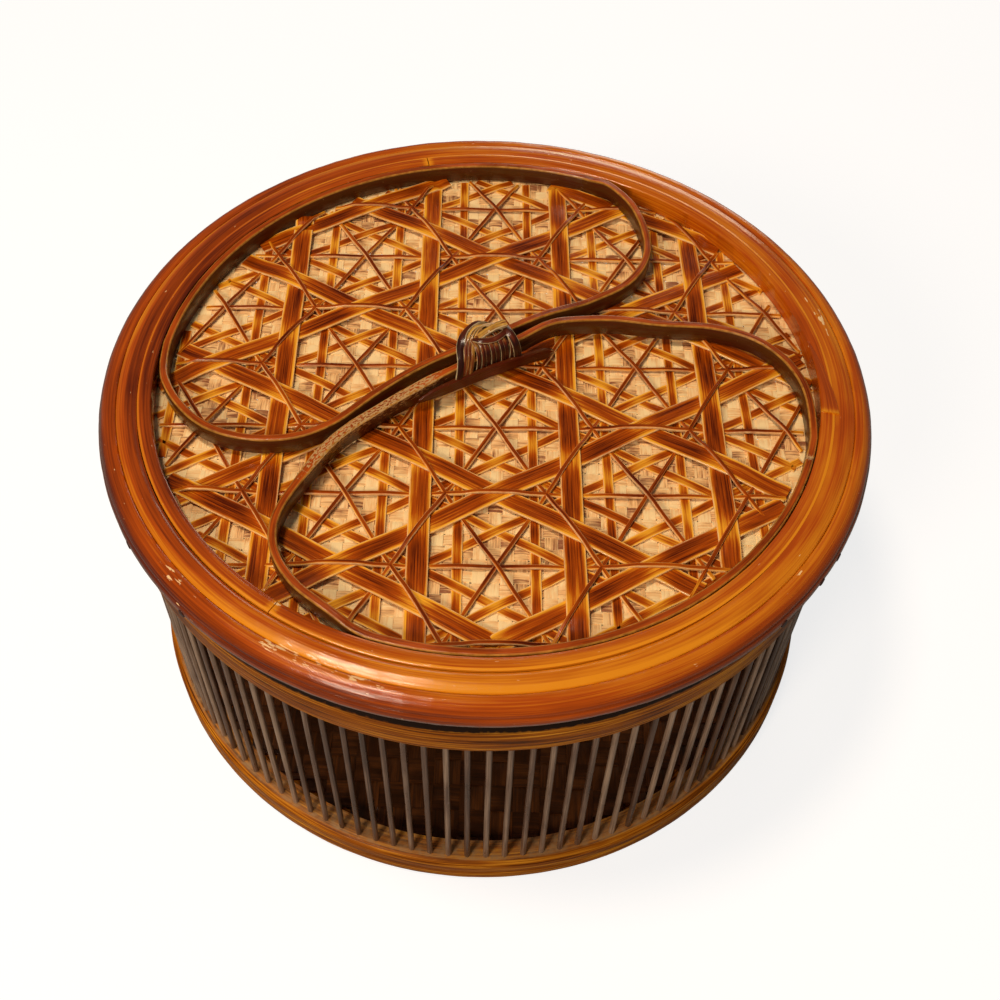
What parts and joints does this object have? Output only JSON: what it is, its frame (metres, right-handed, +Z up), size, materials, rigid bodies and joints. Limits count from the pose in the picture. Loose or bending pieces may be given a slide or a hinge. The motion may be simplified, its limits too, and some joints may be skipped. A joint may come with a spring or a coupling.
{
  "type": "lidded round basket box",
  "caption": "Round lidded box of split bamboo: a cage of rods between hoops, a lid with a star-woven panel, and a looped rib handle.",
  "frame": {"origin": "centre of the base hoop's underside, on the surface that the box stands on", "axes": "+Z up along the box's axis; the picture's view is from -Y, and +X is to its right"},
  "size_m": [0.2, 0.2, 0.1069],
  "materials": {
    "rod_bamboo": "stained split-bamboo rods, satin",
    "body_hoop_bamboo": "bent bamboo hoop, stained and lacquered",
    "floor_weave": "broad woven bamboo strips, stained dark",
    "pale_mat": "thin woven bamboo mat, pale",
    "rim_bamboo": "bent bamboo hoop, orange-brown lacquer",
    "peg_bamboo": "bamboo peg, end grain",
    "strip_bamboo": "split bamboo strip, orange-brown lacquer",
    "rib_bamboo": "bent bamboo rib on edge, dark red lacquer",
    "lashing_bamboo": "fine split strands, dark with golden edges"
  },
  "bodies": {
    "box_body": {"floor_mat": "floor_weave", "rod_cage": "rod_bamboo", "top_hoop": "body_hoop_bamboo"},
    "lid": {"handle_binding": "lashing_bamboo", "handle_collar": "lashing_bamboo", "handle_rib_lower": "rib_bamboo", "handle_rib_upper": "rib_bamboo", "handle_splint": "rib_bamboo", "lid_inner_hoop_1": "rim_bamboo", "lid_inner_hoop_2": "rim_bamboo", "lid_locating_hoop": "body_hoop_bamboo", "lid_middle_hoop": "rim_bamboo", "lid_outer_hoop": "rim_bamboo", "lid_panel": "pale_mat", "rim_peg_1": "peg_bamboo", "rim_peg_2": "peg_bamboo", "rim_peg_3": "peg_bamboo", "rim_peg_4": "peg_bamboo", "rim_peg_5": "peg_bamboo", "wide_strip_a1": "strip_bamboo", "wide_strip_a2": "strip_bamboo", "wide_strip_a3": "strip_bamboo", "wide_strip_a4": "strip_bamboo", "wide_strip_b1": "strip_bamboo", "wide_strip_b2": "strip_bamboo", "wide_strip_b3": "strip_bamboo", "wide_strip_b4": "strip_bamboo", "wide_strip_c1": "strip_bamboo", "wide_strip_c2": "strip_bamboo", "wide_strip_c3": "strip_bamboo", "wide_strip_c4": "strip_bamboo"}
  },
  "joints": [
    {"name": "lid_lift", "type": "slide", "parent": "box_body", "child": "lid", "axis": [0, 0, 1], "range_m": [0, 0.08]}
  ]
}
